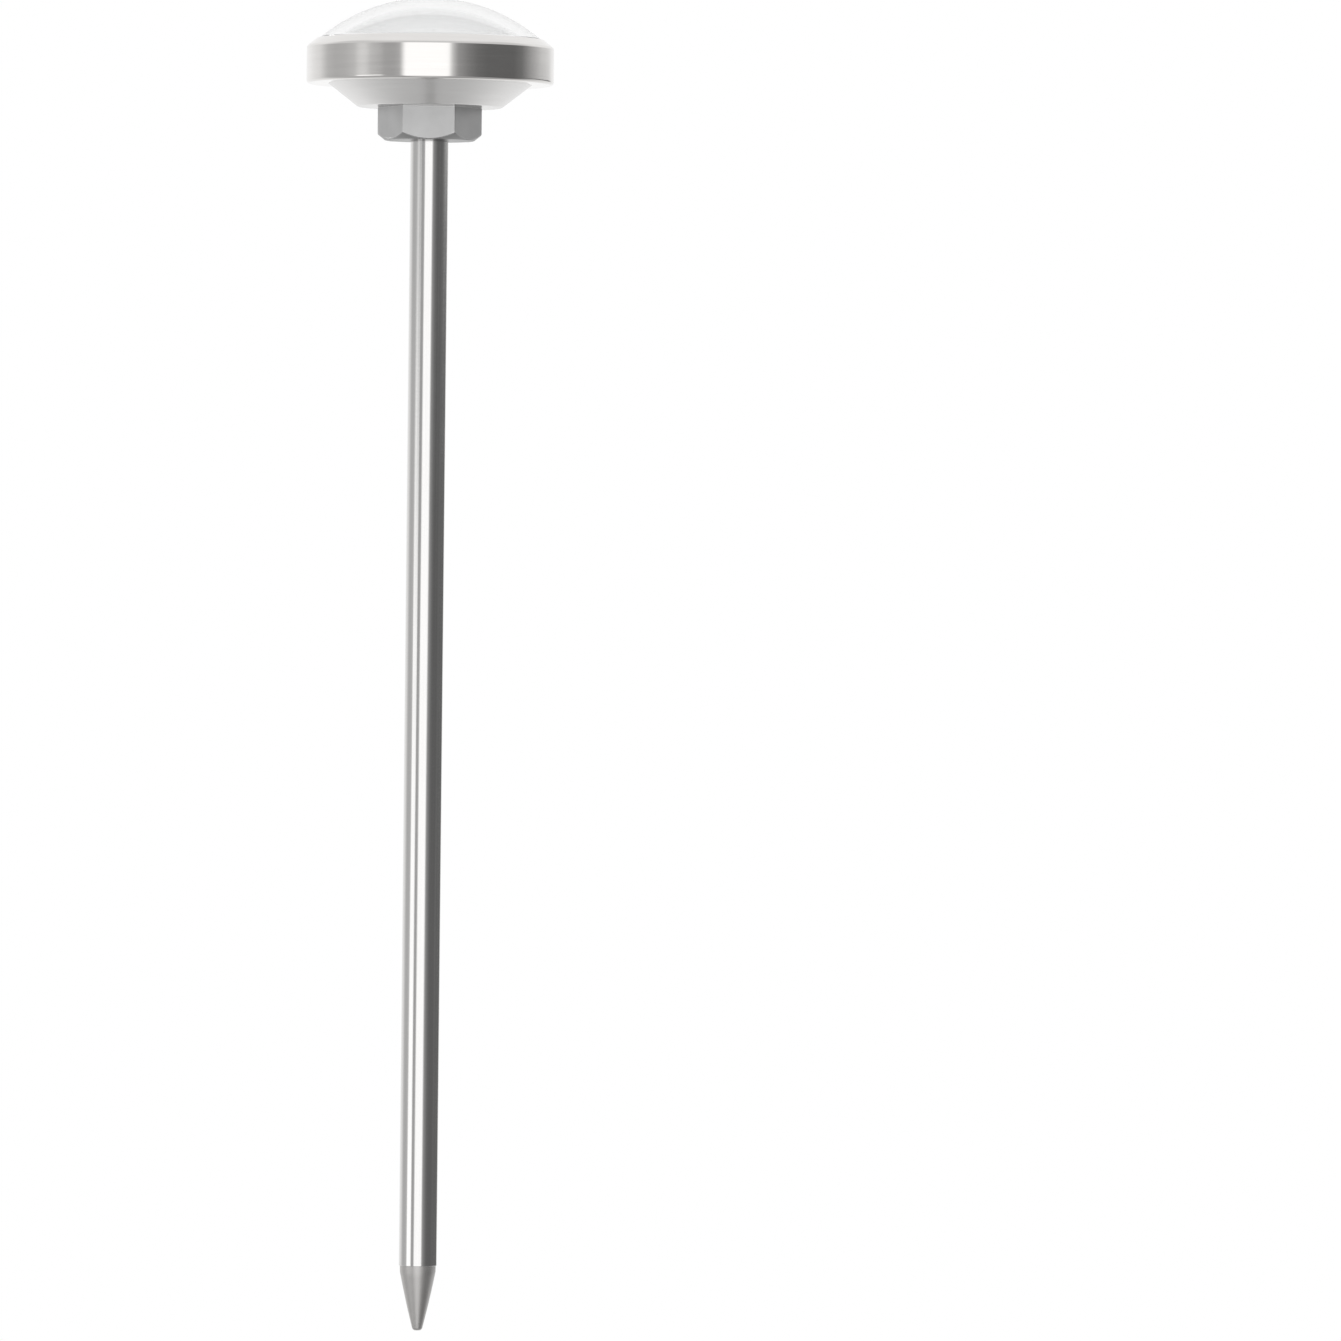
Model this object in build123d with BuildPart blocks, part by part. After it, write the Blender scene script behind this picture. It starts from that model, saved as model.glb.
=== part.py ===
from build123d import *
import math
import os

# Pocket dial thermometer for meat: a bimetal coil in the tip of a thin steel stem turns a shaft, and the
# shaft turns a red pointer over a round dial under a domed crystal. The hex nut under the head is held
# with a spanner while the head is turned on the nut's neck, which sets the reading.
# Millimetres. The origin is the point of the stem, +Z runs up the stem, and +Y is the dial's "60".

# ---------------------------------------------------------------- driving dimensions
OVERALL_LENGTH = 140.0
STEM_LENGTH = 125.0  # from the point to the underside of the nut
HEAD_DIAMETER = 26.0
STEM_DIAMETER = 4.0
STEM_WALL = 0.4
SHEET = 0.45  # thickness of the pressed steel of the head
SHAFT_RADIUS = 0.5
RUNNING_CLEARANCE = 0.05  # radial, for everything that turns in or on something else

# ---------------------------------------------------------------- stem
STEM_RADIUS = STEM_DIAMETER / 2
STEM_BORE = STEM_RADIUS - STEM_WALL
TIP_LENGTH = 6.8
TIP_END_RADIUS = 0.55
TIP_ROUNDING = 0.35
TIP_SHANK = 2.0  # how far the tip's shank reaches into the tube
TUBE_NECK_RADIUS = 1.8  # of the tube's upper end, which is reduced where it goes through the nut
TUBE_SEAT_DEPTH = 0.1  # how far the tube's shoulder stands in the nut's underside
TUBE_SEAT_GAP = 0.03
GUIDE_HEIGHT = 2.0
GUIDE_GAP = 0.05  # between a guide and the tube
GUIDE_LEVELS = {"shaft_guide_lower": 40.0, "shaft_guide_middle": 84.0}

# ---------------------------------------------------------------- nut and neck
NUT_ACROSS_FLATS = 9.5
NUT_HEIGHT = 3.5
NUT_CHAMFER_ANGLE = 40
NUT_FACE_RADIUS = 4.7  # flat ring left under the nut inside the chamfer
NECK_RADIUS = 3.0
NECK_HEIGHT = 2.2
SEAL_GROOVE_INNER = 3.45
SEAL_GROOVE_OUTER = 4.15
SEAL_GROOVE_DEPTH = 0.55
SEAL_SECTION_RADIUS = 0.27
CLIP_GROOVE_RADIUS = 2.6
CLIP_GROOVE_HEIGHT = 0.45
CLIP_OUTER_RADIUS = 4.3
CLIP_THICKNESS = 0.35
CLIP_GAP_ANGLE = 70
WASHER_OUTER_RADIUS = 5.2
WASHER_THICKNESS = 0.25

# ---------------------------------------------------------------- head
HEAD_RADIUS = HEAD_DIAMETER / 2
CASE_FLOOR_RADIUS = 7.57  # where the flat bottom turns into the cone
CASE_CONE_RADIUS = 10.65  # where the cone meets the bezel
CASE_CONE_HEIGHT = 2.4
CASE_BEND = 0.3
BEZEL_WALL_HEIGHT = 3.9
BEZEL_LIP_RISE = 0.95  # the top lip slopes up and in by this much
BEZEL_MOUTH_RADIUS = 11.85
BEZEL_ROUNDING = 0.3
MOUTH_ROUNDING = 0.1
SIGHT_RADIUS = 10.8  # radius of dial left in sight
DIAL_THICKNESS = 0.3
DIAL_HOLE_RADIUS = 1.2
SPACER_HEIGHT = 1.2
GASKET_HEIGHT = 0.5
CRYSTAL_FLANGE = 0.9
CRYSTAL_THICKNESS = 1.1
CRYSTAL_BORE_HEIGHT = 0.5  # straight bore under the inner dome
CRYSTAL_DOME_RADIUS = BEZEL_MOUTH_RADIUS - RUNNING_CLEARANCE
CRYSTAL_STEP = 0.85  # straight wall between the crystal's flange and its dome

# ---------------------------------------------------------------- pointer and movement
POINTER_REACH = 9.7
POINTER_TIP_HALF_WIDTH = 0.26
POINTER_NECK_REACH = 7.2
POINTER_NECK_HALF_WIDTH = 0.24
POINTER_ROOT_REACH = 1.44
POINTER_ROOT_HALF_WIDTH = 0.86
POINTER_DISC_RADIUS = 1.74
TAIL_REACH = 4.03
TAIL_HALF_WIDTH = 1.44
TAIL_ROOT_REACH = 1.1
TAIL_ROOT_HALF_WIDTH = 1.12
POINTER_THICKNESS = 0.2
POINTER_LIFT = 0.85  # gap between dial and pointer
HUB_RADIUS = 0.95
HUB_FLANGE_RADIUS = 1.3
HUB_FLANGE_THICKNESS = 0.2
HUB_FOOT = 0.35  # length of hub below its flange
CAP_RADIUS = 1.12
CAP_HEIGHT = 0.55
CAP_ROUNDING = 0.25
BEARING_LENGTH = 2.0
BEARING_FLANGE_RADIUS = 2.4
BEARING_FLANGE_THICKNESS = 0.4
ANCHOR_HEIGHT = 1.4
COIL_RADIUS = 1.05  # to the middle of the strip
COIL_STRIP_WIDTH = 1.4
COIL_STRIP_THICKNESS = 0.25
COIL_PITCH = 1.9
COIL_TURNS = 11
COIL_END_GAP = 0.2
COIL_POST_RADIUS = COIL_RADIUS - COIL_STRIP_THICKNESS / 2 - 0.01
COIL_POST_LENGTH = 2.6
COLLAR_RADIUS = 1.3
COLLAR_HEIGHT = 2.0

# ---------------------------------------------------------------- levels, from the point upwards
NUT_BOTTOM = STEM_LENGTH
NUT_TOP = NUT_BOTTOM + NUT_HEIGHT
NECK_TOP = NUT_TOP + NECK_HEIGHT
CASE_FLOOR_TOP = NUT_TOP + SHEET
BEZEL_BOTTOM = NUT_TOP + CASE_CONE_HEIGHT
CASE_FLANGE_BOTTOM = BEZEL_BOTTOM + SHEET
DIAL_BOTTOM = CASE_FLANGE_BOTTOM + SHEET
DIAL_TOP = DIAL_BOTTOM + DIAL_THICKNESS
SPACER_TOP = DIAL_TOP + SPACER_HEIGHT
GASKET_TOP = SPACER_TOP + GASKET_HEIGHT
FLANGE_TOP = GASKET_TOP + CRYSTAL_FLANGE
BEZEL_SHOULDER = BEZEL_BOTTOM + BEZEL_WALL_HEIGHT
BEZEL_TOP = BEZEL_SHOULDER + BEZEL_LIP_RISE
POINTER_BOTTOM = DIAL_TOP + POINTER_LIFT
POINTER_TOP = POINTER_BOTTOM + POINTER_THICKNESS
CLIP_GROOVE_BOTTOM = NECK_TOP - 0.7 - CLIP_GROOVE_HEIGHT
SHANK_TOP = TIP_LENGTH + TIP_SHANK
ANCHOR_TOP = SHANK_TOP + ANCHOR_HEIGHT
COIL_TILT = math.atan(COIL_PITCH / (2 * math.pi * COIL_RADIUS))
COIL_HALF_HEIGHT = COIL_STRIP_WIDTH / 2 * math.cos(COIL_TILT)
COIL_START = ANCHOR_TOP + COIL_END_GAP + COIL_HALF_HEIGHT
COIL_LENGTH = COIL_PITCH * COIL_TURNS
COLLAR_BOTTOM = COIL_START + COIL_LENGTH + COIL_HALF_HEIGHT + COIL_END_GAP
COLLAR_TOP = COLLAR_BOTTOM + COLLAR_HEIGHT
SHAFT_BOTTOM = COLLAR_BOTTOM - COIL_POST_LENGTH + 0.4

INNER_WALL_RADIUS = HEAD_RADIUS - SHEET
STACK_RADIUS = INNER_WALL_RADIUS - RUNNING_CLEARANCE  # of everything clamped inside the bezel

os.makedirs("parts", exist_ok=True)


def write(piece, name):
    piece.part.label = name
    export_step(piece.part, f"parts/{name}.step")


def nearest(vertices, *places):
    """The corners of an outline that are nearest to the given (radius, level) places."""
    return [vertices.sort_by_distance((r, z, 0))[0] for r, z in places]


# ================================================================ stem and nut, the fixed body

# The probe's tube, polished, with a reduced end that is welded through the nut.
with BuildPart() as stem_tube:
    with BuildSketch(Plane.XZ):
        Polygon(
            (STEM_BORE, TIP_LENGTH),
            (STEM_RADIUS, TIP_LENGTH),
            (STEM_RADIUS, NUT_BOTTOM + TUBE_SEAT_DEPTH),
            (TUBE_NECK_RADIUS, NUT_BOTTOM + TUBE_SEAT_DEPTH),
            (TUBE_NECK_RADIUS, NECK_TOP),
            (STEM_BORE, NECK_TOP),
            align=None,
        )
    revolve(axis=Axis.Z)
write(stem_tube, "stem_tube")

# Turned point with a shank that plugs the tube.
with BuildPart() as stem_tip:
    with BuildSketch(Plane.XZ) as tip_outline:
        Polygon(
            (0, 0),
            (TIP_END_RADIUS, 0),
            (STEM_RADIUS, TIP_LENGTH),
            (STEM_BORE, TIP_LENGTH),
            (STEM_BORE, SHANK_TOP),
            (0, SHANK_TOP),
            align=None,
        )
        fillet(nearest(tip_outline.vertices(), (TIP_END_RADIUS, 0)), TIP_ROUNDING)
    revolve(axis=Axis.Z)
write(stem_tip, "stem_tip")

# Hex nut with the neck that the head turns on, bored for the tube, with a shallow seat for its shoulder.
with BuildPart() as hex_nut:
    with BuildSketch(Plane.XY.offset(NUT_BOTTOM)):
        RegularPolygon(NUT_ACROSS_FLATS / 2, side_count=6, major_radius=False)
    extrude(amount=NUT_HEIGHT)
    corner_radius = NUT_ACROSS_FLATS / 2 / math.cos(math.radians(30))
    chamfer_reach = corner_radius + 1.0
    chamfer_rise = (chamfer_reach - NUT_FACE_RADIUS) * math.tan(math.radians(NUT_CHAMFER_ANGLE))
    with BuildSketch(Plane.XZ):
        Polygon(
            (0, NUT_BOTTOM),
            (NUT_FACE_RADIUS, NUT_BOTTOM),
            (chamfer_reach, NUT_BOTTOM + chamfer_rise),
            (chamfer_reach, NUT_TOP),
            (0, NUT_TOP),
            align=None,
        )
    revolve(axis=Axis.Z, mode=Mode.INTERSECT)
    with BuildSketch(Plane.XY.offset(NUT_TOP)):
        Circle(NECK_RADIUS)
    extrude(amount=NECK_HEIGHT)
    with BuildSketch(Plane.XY.offset(CLIP_GROOVE_BOTTOM)):
        Circle(NECK_RADIUS)
        Circle(CLIP_GROOVE_RADIUS, mode=Mode.SUBTRACT)
    extrude(amount=CLIP_GROOVE_HEIGHT, mode=Mode.SUBTRACT)
    with BuildSketch(Plane.XY.offset(NUT_TOP)):
        Circle(SEAL_GROOVE_OUTER)
        Circle(SEAL_GROOVE_INNER, mode=Mode.SUBTRACT)
    extrude(amount=-SEAL_GROOVE_DEPTH, mode=Mode.SUBTRACT)
    with BuildSketch(Plane.XY.offset(NUT_BOTTOM)):
        Circle(TUBE_NECK_RADIUS)
    extrude(amount=NUT_HEIGHT + NECK_HEIGHT, mode=Mode.SUBTRACT)
    with BuildSketch(Plane.XY.offset(NUT_BOTTOM)):
        Circle(STEM_RADIUS + TUBE_SEAT_GAP)
    extrude(amount=TUBE_SEAT_DEPTH, mode=Mode.SUBTRACT)
write(hex_nut, "hex_nut")

# O-ring in the nut's top face, which keeps water out of the head.
with BuildPart() as neck_seal:
    seal_radius = (SEAL_GROOVE_INNER + SEAL_GROOVE_OUTER) / 2
    seal_level = NUT_TOP - SEAL_GROOVE_DEPTH + SEAL_SECTION_RADIUS
    with BuildSketch(Plane.XZ):
        with Locations((seal_radius, seal_level)):
            Circle(SEAL_SECTION_RADIUS)
    revolve(axis=Axis.Z)
write(neck_seal, "neck_seal")

# Split ring in the neck's groove, which keeps the head on the nut.
with BuildPart() as retaining_ring:
    clip_level = CLIP_GROOVE_BOTTOM + (CLIP_GROOVE_HEIGHT - CLIP_THICKNESS) / 2
    with BuildSketch(Plane.XY.offset(clip_level)):
        Circle(CLIP_OUTER_RADIUS)
        Circle(CLIP_GROOVE_RADIUS + RUNNING_CLEARANCE, mode=Mode.SUBTRACT)
        with BuildLine():
            clip_side = PolarLine((0, 0), 2 * CLIP_OUTER_RADIUS, 90 - CLIP_GAP_ANGLE / 2)
            other_side = PolarLine((0, 0), 2 * CLIP_OUTER_RADIUS, 90 + CLIP_GAP_ANGLE / 2)
            Line(clip_side @ 1, other_side @ 1)
        make_face(mode=Mode.SUBTRACT)
    extrude(amount=CLIP_THICKNESS)
write(retaining_ring, "retaining_ring")

# Dished spring washer between the retaining ring and the case floor: its rub holds the setting.
with BuildPart() as friction_washer:
    washer_low = CASE_FLOOR_TOP + 0.02
    washer_high = clip_level - 0.02
    with BuildSketch(Plane.XZ):
        Polygon(
            (NECK_RADIUS + RUNNING_CLEARANCE, washer_high - WASHER_THICKNESS),
            (WASHER_OUTER_RADIUS, washer_low),
            (WASHER_OUTER_RADIUS, washer_low + WASHER_THICKNESS),
            (NECK_RADIUS + RUNNING_CLEARANCE, washer_high),
            align=None,
        )
    revolve(axis=Axis.Z)
write(friction_washer, "friction_washer")

# Flanged bush in the top of the tube, where the shaft comes out.
with BuildPart() as upper_bearing:
    with BuildSketch(Plane.XY.offset(NECK_TOP - BEARING_LENGTH)):
        Circle(STEM_BORE)
    extrude(amount=BEARING_LENGTH)
    with BuildSketch(Plane.XY.offset(NECK_TOP)):
        Circle(BEARING_FLANGE_RADIUS)
    extrude(amount=BEARING_FLANGE_THICKNESS)
    with BuildSketch(Plane.XY.offset(NECK_TOP - BEARING_LENGTH)):
        Circle(SHAFT_RADIUS + RUNNING_CLEARANCE)
    extrude(amount=BEARING_LENGTH + BEARING_FLANGE_THICKNESS, mode=Mode.SUBTRACT)
write(upper_bearing, "upper_bearing")

# Plain bushes that keep the long shaft straight in the tube.
for guide_name, guide_level in GUIDE_LEVELS.items():
    with BuildPart() as shaft_guide:
        with BuildSketch(Plane.XY.offset(guide_level)):
            Circle(STEM_BORE - GUIDE_GAP)
            Circle(SHAFT_RADIUS + RUNNING_CLEARANCE, mode=Mode.SUBTRACT)
        extrude(amount=GUIDE_HEIGHT)
    write(shaft_guide, guide_name)

# Plug on the tip's shank, whose post holds the coil's lower end.
with BuildPart() as coil_anchor:
    with BuildSketch(Plane.XZ):
        Polygon(
            (0, SHANK_TOP),
            (STEM_BORE - GUIDE_GAP, SHANK_TOP),
            (STEM_BORE - GUIDE_GAP, ANCHOR_TOP),
            (COIL_POST_RADIUS, ANCHOR_TOP),
            (COIL_POST_RADIUS, ANCHOR_TOP + COIL_POST_LENGTH),
            (0, ANCHOR_TOP + COIL_POST_LENGTH),
            align=None,
        )
    revolve(axis=Axis.Z)
write(coil_anchor, "coil_anchor")

# Bimetal strip wound on edge as a helix: it winds and unwinds with the temperature.
with BuildPart() as bimetal_coil:
    with BuildLine():
        coil_path = Helix(COIL_PITCH, COIL_LENGTH, COIL_RADIUS, center=(0, 0, COIL_START))
    with BuildSketch(Plane(coil_path @ 0, x_dir=(1, 0, 0), z_dir=coil_path % 0)):
        Rectangle(COIL_STRIP_THICKNESS, COIL_STRIP_WIDTH)
    sweep(is_frenet=True)
write(bimetal_coil, "bimetal_coil")

# ================================================================ head, which turns on the neck

# Pressed cup: flat floor around the neck, cone, and the flange that the bezel grips.
with BuildPart() as case_back:
    floor_hole = NECK_RADIUS + RUNNING_CLEARANCE
    inner_step = CASE_CONE_RADIUS - SHEET
    with BuildSketch(Plane.XZ) as case_outline:
        Polygon(
            (floor_hole, NUT_TOP),
            (CASE_FLOOR_RADIUS, NUT_TOP),
            (CASE_CONE_RADIUS, BEZEL_BOTTOM),
            (CASE_CONE_RADIUS, CASE_FLANGE_BOTTOM),
            (STACK_RADIUS, CASE_FLANGE_BOTTOM),
            (STACK_RADIUS, DIAL_BOTTOM),
            (inner_step, DIAL_BOTTOM),
            (inner_step, BEZEL_BOTTOM + 0.2),
            (CASE_FLOOR_RADIUS - 0.16, CASE_FLOOR_TOP),
            (floor_hole, CASE_FLOOR_TOP),
            align=None,
        )
        bends = nearest(
            case_outline.vertices(),
            (CASE_FLOOR_RADIUS, NUT_TOP),
            (inner_step, DIAL_BOTTOM),
            (inner_step, BEZEL_BOTTOM + 0.2),
            (CASE_FLOOR_RADIUS - 0.16, CASE_FLOOR_TOP),
        )
        fillet(bends, CASE_BEND)
    revolve(axis=Axis.Z)
write(case_back, "case_back")

# Rolled ring that clamps the crystal, gasket, spacer and dial on the case flange.
with BuildPart() as bezel_ring:
    with BuildSketch(Plane.XZ) as bezel_outline:
        Polygon(
            (CASE_CONE_RADIUS, BEZEL_BOTTOM),
            (HEAD_RADIUS, BEZEL_BOTTOM),
            (HEAD_RADIUS, BEZEL_SHOULDER),
            (BEZEL_MOUTH_RADIUS, BEZEL_TOP),
            (BEZEL_MOUTH_RADIUS, FLANGE_TOP),
            (INNER_WALL_RADIUS, FLANGE_TOP),
            (INNER_WALL_RADIUS, CASE_FLANGE_BOTTOM),
            (CASE_CONE_RADIUS, CASE_FLANGE_BOTTOM),
            align=None,
        )
        mouth = nearest(bezel_outline.vertices(), (BEZEL_MOUTH_RADIUS, BEZEL_TOP))
        fillet(mouth, MOUTH_ROUNDING)
        rolls = nearest(
            bezel_outline.vertices(),
            (HEAD_RADIUS, BEZEL_BOTTOM),
            (HEAD_RADIUS, BEZEL_SHOULDER),
        )
        fillet(rolls, BEZEL_ROUNDING)
    revolve(axis=Axis.Z)
write(bezel_ring, "bezel_ring")

# Domed clear crystal with a flat flange under the bezel's lip.
with BuildPart() as crystal:
    dome_foot = FLANGE_TOP + CRYSTAL_STEP
    dome_rise = OVERALL_LENGTH - dome_foot
    dome_sphere = (CRYSTAL_DOME_RADIUS**2 + dome_rise**2) / (2 * dome_rise)
    dome_centre = OVERALL_LENGTH - dome_sphere
    inner_sphere = dome_sphere - CRYSTAL_THICKNESS
    inner_foot = GASKET_TOP + CRYSTAL_BORE_HEIGHT
    inner_foot_radius = math.sqrt(inner_sphere**2 - (inner_foot - dome_centre) ** 2)
    with BuildSketch(Plane.XZ):
        with BuildLine():
            RadiusArc((0, OVERALL_LENGTH), (CRYSTAL_DOME_RADIUS, dome_foot), dome_sphere)
            Polyline(
                (CRYSTAL_DOME_RADIUS, dome_foot),
                (CRYSTAL_DOME_RADIUS, FLANGE_TOP),
                (STACK_RADIUS, FLANGE_TOP),
                (STACK_RADIUS, GASKET_TOP),
                (inner_foot_radius, GASKET_TOP),
                (inner_foot_radius, inner_foot),
            )
            inner_apex = (0, dome_centre + inner_sphere)
            RadiusArc((inner_foot_radius, inner_foot), inner_apex, -inner_sphere)
            Line(inner_apex, (0, OVERALL_LENGTH))
        make_face()
    revolve(axis=Axis.Z)
write(crystal, "crystal")

# Rubber gasket under the crystal's flange.
with BuildPart() as lens_gasket:
    with BuildSketch(Plane.XY.offset(SPACER_TOP)):
        Circle(STACK_RADIUS)
        Circle(SIGHT_RADIUS, mode=Mode.SUBTRACT)
    extrude(amount=GASKET_HEIGHT)
write(lens_gasket, "lens_gasket")

# Black ring that holds the dial down and keeps the crystal clear of the pointer.
with BuildPart() as dial_spacer:
    with BuildSketch(Plane.XY.offset(DIAL_TOP)):
        Circle(STACK_RADIUS)
        Circle(SIGHT_RADIUS, mode=Mode.SUBTRACT)
    extrude(amount=SPACER_HEIGHT)
write(dial_spacer, "dial_spacer")

# Printed dial, a thin disc with a hole for the shaft.
with BuildPart() as dial_plate:
    with BuildSketch(Plane.XY.offset(DIAL_BOTTOM)):
        Circle(STACK_RADIUS)
        Circle(DIAL_HOLE_RADIUS, mode=Mode.SUBTRACT)
    extrude(amount=DIAL_THICKNESS)
write(dial_plate, "dial_plate")

# ================================================================ pointer, which turns with the coil

# Blade towards +X, round disc at the shaft, and a short wide tail that balances it.
with BuildPart() as pointer:
    with BuildSketch(Plane.XY.offset(POINTER_BOTTOM)):
        Circle(POINTER_DISC_RADIUS)
        with BuildLine():
            Polyline(
                (POINTER_ROOT_REACH, -POINTER_ROOT_HALF_WIDTH),
                (POINTER_NECK_REACH, -POINTER_NECK_HALF_WIDTH),
                (POINTER_REACH, -POINTER_TIP_HALF_WIDTH),
                (POINTER_REACH, POINTER_TIP_HALF_WIDTH),
                (POINTER_NECK_REACH, POINTER_NECK_HALF_WIDTH),
                (POINTER_ROOT_REACH, POINTER_ROOT_HALF_WIDTH),
                close=True,
            )
        make_face()
        tail_corner = math.sqrt(TAIL_REACH**2 - TAIL_HALF_WIDTH**2)
        with BuildLine():
            tail_side = Line(
                (-TAIL_ROOT_REACH, TAIL_ROOT_HALF_WIDTH), (-tail_corner, TAIL_HALF_WIDTH)
            )
            ThreePointArc(
                tail_side @ 1, (-TAIL_REACH, 0), (-tail_corner, -TAIL_HALF_WIDTH)
            )
            Polyline(
                (-tail_corner, -TAIL_HALF_WIDTH),
                (-TAIL_ROOT_REACH, -TAIL_ROOT_HALF_WIDTH),
                (-TAIL_ROOT_REACH, TAIL_ROOT_HALF_WIDTH),
            )
        make_face()
        Circle(HUB_RADIUS, mode=Mode.SUBTRACT)
    extrude(amount=POINTER_THICKNESS)
write(pointer, "pointer")

# Brass hub: the pointer is riveted over it, and it is pressed on the shaft.
with BuildPart() as pointer_hub:
    with BuildSketch(Plane.XZ):
        flange_bottom = POINTER_BOTTOM - HUB_FLANGE_THICKNESS
        Polygon(
            (SHAFT_RADIUS, flange_bottom - HUB_FOOT),
            (HUB_RADIUS, flange_bottom - HUB_FOOT),
            (HUB_RADIUS, flange_bottom),
            (HUB_FLANGE_RADIUS, flange_bottom),
            (HUB_FLANGE_RADIUS, POINTER_BOTTOM),
            (HUB_RADIUS, POINTER_BOTTOM),
            (HUB_RADIUS, POINTER_TOP),
            (SHAFT_RADIUS, POINTER_TOP),
            align=None,
        )
    revolve(axis=Axis.Z)
write(pointer_hub, "pointer_hub")

# Cream button that covers the hub and the end of the shaft.
with BuildPart() as pointer_cap:
    with BuildSketch(Plane.XY.offset(POINTER_TOP)):
        Circle(CAP_RADIUS)
    extrude(amount=CAP_HEIGHT)
    fillet(pointer_cap.edges().group_by(Axis.Z)[-1], CAP_ROUNDING)
write(pointer_cap, "pointer_cap")

# Long thin shaft from the coil's top end up to the pointer.
with BuildPart() as pointer_shaft:
    with BuildSketch(Plane.XY.offset(SHAFT_BOTTOM)):
        Circle(SHAFT_RADIUS)
    extrude(amount=POINTER_TOP - SHAFT_BOTTOM)
write(pointer_shaft, "pointer_shaft")

# Collar on the shaft's lower end, whose stub the coil's top turn is fixed to.
with BuildPart() as coil_collar:
    with BuildSketch(Plane.XZ):
        stub_bottom = COLLAR_BOTTOM - COIL_POST_LENGTH
        Polygon(
            (0, stub_bottom),
            (COIL_POST_RADIUS, stub_bottom),
            (COIL_POST_RADIUS, COLLAR_BOTTOM),
            (COLLAR_RADIUS, COLLAR_BOTTOM),
            (COLLAR_RADIUS, COLLAR_TOP),
            (SHAFT_RADIUS, COLLAR_TOP),
            (SHAFT_RADIUS, SHAFT_BOTTOM),
            (0, SHAFT_BOTTOM),
            align=None,
        )
    revolve(axis=Axis.Z)
write(coil_collar, "coil_collar")
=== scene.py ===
"""Looks of a dial meat thermometer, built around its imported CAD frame.

Outlines are in millimetres, as (radius, level) pairs for turned pieces, in the frame of the CAD part:
the point of the stem is the origin, +Z runs up the stem to the dial, and +Y is the middle of the scale.
"""

import math

import bmesh
import bpy
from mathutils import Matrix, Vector, geometry


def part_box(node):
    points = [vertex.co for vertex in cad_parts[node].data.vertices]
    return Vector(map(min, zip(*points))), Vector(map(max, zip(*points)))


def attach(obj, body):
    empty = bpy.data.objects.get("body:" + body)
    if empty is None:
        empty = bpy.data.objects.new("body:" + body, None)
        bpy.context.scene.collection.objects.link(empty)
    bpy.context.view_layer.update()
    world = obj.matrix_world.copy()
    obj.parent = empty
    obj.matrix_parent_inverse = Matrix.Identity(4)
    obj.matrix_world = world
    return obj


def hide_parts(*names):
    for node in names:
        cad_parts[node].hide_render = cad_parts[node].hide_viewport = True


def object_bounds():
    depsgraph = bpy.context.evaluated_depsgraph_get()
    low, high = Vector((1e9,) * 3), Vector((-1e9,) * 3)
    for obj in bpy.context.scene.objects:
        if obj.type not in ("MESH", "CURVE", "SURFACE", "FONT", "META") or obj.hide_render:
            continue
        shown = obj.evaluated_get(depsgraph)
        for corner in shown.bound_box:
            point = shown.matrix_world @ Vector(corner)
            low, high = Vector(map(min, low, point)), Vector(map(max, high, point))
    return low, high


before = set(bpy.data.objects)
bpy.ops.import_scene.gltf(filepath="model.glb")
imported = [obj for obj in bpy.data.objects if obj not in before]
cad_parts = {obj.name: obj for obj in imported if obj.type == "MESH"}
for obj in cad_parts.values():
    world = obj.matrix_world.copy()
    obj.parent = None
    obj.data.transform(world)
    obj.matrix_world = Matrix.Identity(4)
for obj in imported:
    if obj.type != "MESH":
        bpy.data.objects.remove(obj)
CAD_LOW, CAD_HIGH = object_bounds()

MM = 0.001
TURNS = 192  # steps round a turned piece
FILLET_STEPS = 6
SUPPORT = 0.03  # gap between a fillet and the loop that keeps the flat beside it flat

# ---------------------------------------------------------------- sizes, mm


def box_mm(node):
    """The low and high corners of a node's box, in millimetres."""
    low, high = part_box(node)
    return Vector(low) / MM, Vector(high) / MM


TUBE_LOW, TUBE_HIGH = box_mm("stem_tube")
TIP_HIGH = box_mm("stem_tip")[1]
NUT_LOW, NUT_HIGH = box_mm("hex_nut")
BEZEL_LOW, BEZEL_HIGH = box_mm("bezel_ring")
CASE_LOW, CASE_HIGH = box_mm("case_back")
CRYSTAL_LOW, CRYSTAL_HIGH = box_mm("crystal")
DIAL_LOW, DIAL_HIGH = box_mm("dial_plate")
POINTER_LOW, POINTER_HIGH = box_mm("pointer")
HUB_LOW, HUB_HIGH = box_mm("pointer_hub")
CAP_LOW, CAP_HIGH = box_mm("pointer_cap")

STEM_RADIUS = TUBE_HIGH.x
STEM_BORE = 1.6
TUBE_NECK_RADIUS = 1.8  # where the tube goes through the nut
NECK_RADIUS = 3.0  # neck of the nut, on which the head turns
SHEET = 0.45  # thickness of the case and the bezel
CASE_FLOOR_RADIUS = 7.57
CASE_CONE_RADIUS = 10.65
BEZEL_MOUTH_RADIUS = 11.85
BEZEL_WALL_HEIGHT = 3.9
BEZEL_LIP_RISE = 0.95
CRYSTAL_FLANGE = 0.9  # thickness of the rim that the bezel clamps
SIGHT_RADIUS = 10.8  # opening of the black ring and the gasket


# ---------------------------------------------------------------- mesh tools


def shown(name, mesh, body, node, material, sharp=38):
    """Puts a finished mesh in the scene, on its body, in place of its CAD node."""
    mesh.shade_smooth()
    mesh.set_sharp_from_angle(angle=math.radians(sharp))
    mesh.materials.append(material)
    piece = bpy.data.objects.new(name, mesh)
    bpy.context.scene.collection.objects.link(piece)
    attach(piece, body)
    if node:
        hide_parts(node)
    return piece


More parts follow.
